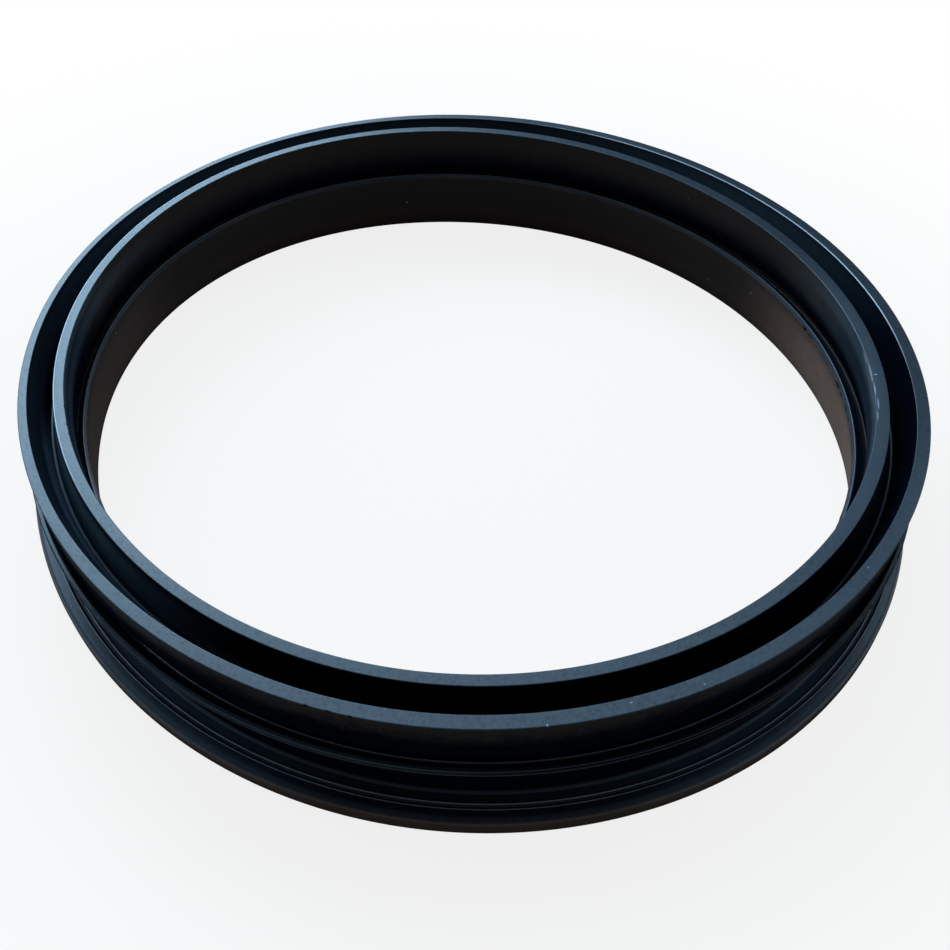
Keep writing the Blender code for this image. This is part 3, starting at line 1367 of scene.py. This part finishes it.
@dataclass
class Flash:
    """A thin ragged strip of flash along one mould line."""

    section: Section
    lie: Lie
    circle: float
    line: MouldLine
    thickness: float = 0.07 * MM
    reach: float = 0.28 * MM
    root_depth: float = 0.12 * MM
    edge_gap: float = 0.04 * MM
    tip_share: float = 0.3
    outer_lean: float = 0.35
    inner_lean: float = -0.5
    facets: int = 2400
    sharp_angle_deg: float = 40.0
    ragged_scale: float = 900.0
    fine_noise: Noise = Noise(1.0, 3.0, 0.6)
    broad_noise: Noise = Noise(0.06, 2.0, 0.5)
    fine_tear: Range = (0.3, 0.75)
    broad_tear: Range = (0.35, 0.65)
    seed: float = 3.0

    def root(self) -> tuple[float, float]:
        """Finds where the strip starts.

        Returns:
            The offset and height of its root.
        """
        section = self.section
        if self.line is MouldLine.OUTER_BARB:
            edge, top = section.outer_barb_edge()
            return edge - self.edge_gap, top
        return -section.inner_barb_reach, section.barb_top_height - section.inner_barb_chamfer_height

    def direction(self) -> tuple[float, float]:
        """The way that the strip stands, outwards and up."""
        lean = self.outer_lean if self.line is MouldLine.OUTER_BARB else self.inner_lean
        return math.sin(lean), math.cos(lean)

    def blade(self) -> list[tuple[float, float]]:
        """Draws the strip's outline.

        Returns:
            Its corners, as offsets from the groove's circle and heights.
        """
        out, up = self.root()
        along_out, along_up = self.direction()
        side_out, side_up = along_up * self.thickness / 2, -along_out * self.thickness / 2
        foot_out, foot_up = out - along_out * self.root_depth, up - along_up * self.root_depth
        tip_out, tip_up = out + along_out * self.reach, up + along_up * self.reach
        return [
            (foot_out + side_out, foot_up + side_up),
            (foot_out - side_out, foot_up - side_up),
            (tip_out - side_out * self.tip_share, tip_up - side_up * self.tip_share),
            (tip_out + side_out * self.tip_share, tip_up + side_up * self.tip_share),
        ]

    def build(self, rubber: bpy.types.Material) -> bpy.types.Object:
        """Sweeps the blade round the ring with a ragged tip.

        Args:
            rubber: The strip's finish.

        Returns:
            The finished piece.
        """
        recipe = Recipe(f"flash_{self.line.value}")
        circle = recipe.number("Groove circle radius", self.circle)
        facets = recipe.number("Facets around", self.facets)
        scale = recipe.number("Ragged scale", self.ragged_scale)
        seed = recipe.number("Seed", self.seed)
        turned = recipe.turn(recipe.outline(), circle, facets)
        x, y, height = recipe.parts(recipe.place())
        radius = recipe.length(x, y)
        out, up = self.root()
        along_out, along_up = self.direction()
        along = ((radius - circle - out) * along_out + (height - up) * along_up) / self.reach
        path = recipe.vector(x / radius * circle * scale, y / radius * circle * scale, seed)
        fine = recipe.noise(path, self.fine_noise)
        broad = recipe.noise(path, self.broad_noise)
        short = 1.0 - fine.ramp(*self.fine_tear) * broad.ramp(*self.broad_tear)
        drop = -1.0 * along.at_least(0.0) * short * self.reach
        share = drop * along_out / radius
        torn = recipe.move(turned, recipe.vector(x * share, y * share, drop * along_up))
        kept = recipe.remember(torn, REST_PLACE)
        laid = self.lie.lay(recipe, kept, self.section, circle)
        recipe.finish(laid, rubber)
        base = polyline_mesh("blade", self.blade())
        piece = recipe.bake(f"flash_{self.line.value}", base, self.sharp_angle_deg)
        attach(piece, BODY)
        return piece


@dataclass(frozen=True)
class PaleFloor:
    """Plain pale matt floor that reads as white and keeps the ring's soft shadow."""

    colour: Colour = (0.92, 0.8, 0.7, 1.0)
    glow: Colour = WHITE
    glow_share: float = 0.84
    shadow_reach: float = 62.0 * MM
    white_from: float = 165.0 * MM

    def material(self) -> bpy.types.Material:
        """Builds the floor's finish.

        Returns:
            The material.
        """
        material = bpy.data.materials.new("pale_floor")
        material.use_nodes = True
        board = NodeBoard(material.node_tree)
        board.tree.nodes.clear()
        rays = board.node("ShaderNodeLightPath")
        seen = Number(board, rays.outputs["Is Camera Ray"])
        mirrored = Number(board, rays.outputs["Is Glossy Ray"])
        through = Number(board, rays.outputs["Is Transmission Ray"])
        matt = board.node("ShaderNodeBsdfDiffuse", inputs={"Color": self.colour})
        glow = board.node("ShaderNodeEmission", inputs={"Color": self.glow, "Strength": 1.0})
        x, y, _ = board.parts(board.node("ShaderNodeTexCoord").outputs["Object"])
        away = board.length(x, y).ramp(self.shadow_reach, self.white_from)
        white = self.glow_share + (1.0 - self.glow_share) * away
        share = seen.at_least(mirrored).at_least(through) * white
        mixed = board.node("ShaderNodeMixShader", inputs={0: share, 1: matt.outputs[0], 2: glow.outputs[0]})
        board.node("ShaderNodeOutputMaterial", inputs={"Surface": mixed.outputs[0]})
        return material


@dataclass(frozen=True)
class Lamp:
    """A soft rectangular lamp that hangs round the ring and faces its middle."""

    name: str
    azimuth_deg: float
    elevation_deg: float
    width: float
    height: float
    radiance: float
    colour: tuple[float, float, float]
    distance: float = 1.0

    def build(self) -> bpy.types.Object:
        """Hangs the lamp.

        Returns:
            The lamp.
        """
        light = bpy.data.lights.new(self.name, "AREA")
        light.shape = "RECTANGLE"
        light.size = self.width
        light.size_y = self.height
        light.energy = self.radiance * math.pi * self.width * self.height
        light.color = self.colour
        azimuth, elevation = math.radians(self.azimuth_deg), math.radians(self.elevation_deg)
        flat = math.cos(elevation)
        towards = Vector((math.sin(azimuth) * flat, math.cos(azimuth) * flat, math.sin(elevation)))
        turn = towards.to_track_quat("Z", "Y").to_matrix().to_4x4()
        made = place_object(self.name, light)
        made.matrix_world = Matrix.Translation(towards * self.distance) @ turn
        return made


@dataclass
class Studio:
    """The floor, the soft lamps and the plain surroundings."""

    floor_size: float = 8.0
    floor_drop: float = 0.02 * MM
    sky: Colour = (0.72, 0.87, 1.0, 1.0)
    sky_strength: float = 0.12
    daylight: tuple[float, float, float] = (0.5, 0.76, 1.0)

    def floor(self) -> bpy.types.Object:
        """Lays the floor just under the foot.

        Returns:
            The floor.
        """
        half = self.floor_size / 2
        mesh = bpy.data.meshes.new("floor")
        corners = [(-half, -half), (half, -half), (half, half), (-half, half)]
        mesh.from_pydata([(x, y, -self.floor_drop) for x, y in corners], [], [(0, 1, 2, 3)])
        mesh.materials.append(PaleFloor().material())
        made = place_object("floor", mesh)
        return made

    def lamps(self) -> None:
        """Hangs a large soft lamp behind the ring on the left, one above it and a weak one on each side."""
        Lamp("window", -26.0, 38.0, 0.55, 0.44, 11.0, self.daylight).build()
        Lamp("overhead", 0.0, 60.0, 0.8, 0.34, 3.6, self.daylight).build()
        Lamp("left", -62.0, 30.0, 0.6, 0.35, 4.5, self.daylight).build()
        Lamp("right", 62.0, 32.0, 0.7, 0.4, 1.5, self.daylight).build()

    def surroundings(self) -> None:
        """Lights the ring evenly from all round, and shows white where no floor is."""
        world = bpy.data.worlds.new("surroundings")
        world.use_nodes = True
        bpy.context.scene.world = world
        board = NodeBoard(world.node_tree)
        board.tree.nodes.clear()
        seen = Number(board, board.node("ShaderNodeLightPath").outputs["Is Camera Ray"])
        strength = self.sky_strength + (1.0 - self.sky_strength) * seen
        colour = board.blend(seen, self.sky, WHITE)
        light = board.node("ShaderNodeBackground", inputs={"Color": colour, "Strength": strength})
        board.node("ShaderNodeOutputWorld", inputs={"Surface": light.outputs[0]})


@dataclass(frozen=True)
class Viewpoint:
    """Where the ring is seen from."""

    back: float = 116.3 * MM
    height: float = 114.72 * MM
    tilt_deg: float = 47.32
    yaw_deg: float = 0.599
    roll_deg: float = -3.279
    lens: float = 37.895
    sensor: float = 36.0
    nearest: float = 5.0 * MM
    farthest: float = 50.0

    def build(self) -> bpy.types.Object:
        """Places the camera and makes it the scene's own.

        Returns:
            The camera.
        """
        camera = bpy.data.cameras.new("viewpoint")
        camera.lens = self.lens
        camera.sensor_width = self.sensor
        camera.clip_start = self.nearest
        camera.clip_end = self.farthest
        tilt, yaw, roll = (math.radians(a) for a in (self.tilt_deg, self.yaw_deg, self.roll_deg))
        forward = Vector((math.sin(yaw) * math.cos(tilt), math.cos(yaw) * math.cos(tilt), -math.sin(tilt)))
        level = Vector((math.cos(yaw), -math.sin(yaw), 0.0))
        down = forward.cross(level)
        right = level * math.cos(roll) + down * math.sin(roll)
        below = down * math.cos(roll) - level * math.sin(roll)
        turn = Matrix((right, -below, -forward)).transposed().to_4x4()
        made = place_object("viewpoint", camera)
        made.matrix_world = Matrix.Translation((0.0, -self.back, self.height)) @ turn
        bpy.context.scene.camera = made
        return made


def report(piece: bpy.types.Object) -> None:
    """Says how large a finished piece is.

    Args:
        piece: The piece.
    """
    triangles = sum(len(face.vertices) - 2 for face in piece.data.polygons)
    LOG.info("%s: %d triangles", piece.name, triangles)


def main() -> None:
    """Builds the ring, its flash and the stage, and reports each piece."""
    logging.basicConfig(level=logging.INFO, format="%(message)s")
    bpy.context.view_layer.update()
    bpy.context.scene.view_settings.view_transform = "Standard"
    section = Section()
    lie = Lie()
    rim_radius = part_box(RING_NODE)[1][0]
    ring = TurnedRing(section, lie, rim_radius)
    rubber = BlackRubber().material(section, ring.circle)
    report(ring.build(rubber))
    for line in MouldLine:
        report(Flash(section, lie, ring.circle, line).build(rubber))
    studio = Studio()
    studio.floor()
    studio.lamps()
    studio.surroundings()
    Viewpoint().build()


if __name__ == "__main__":
    main()
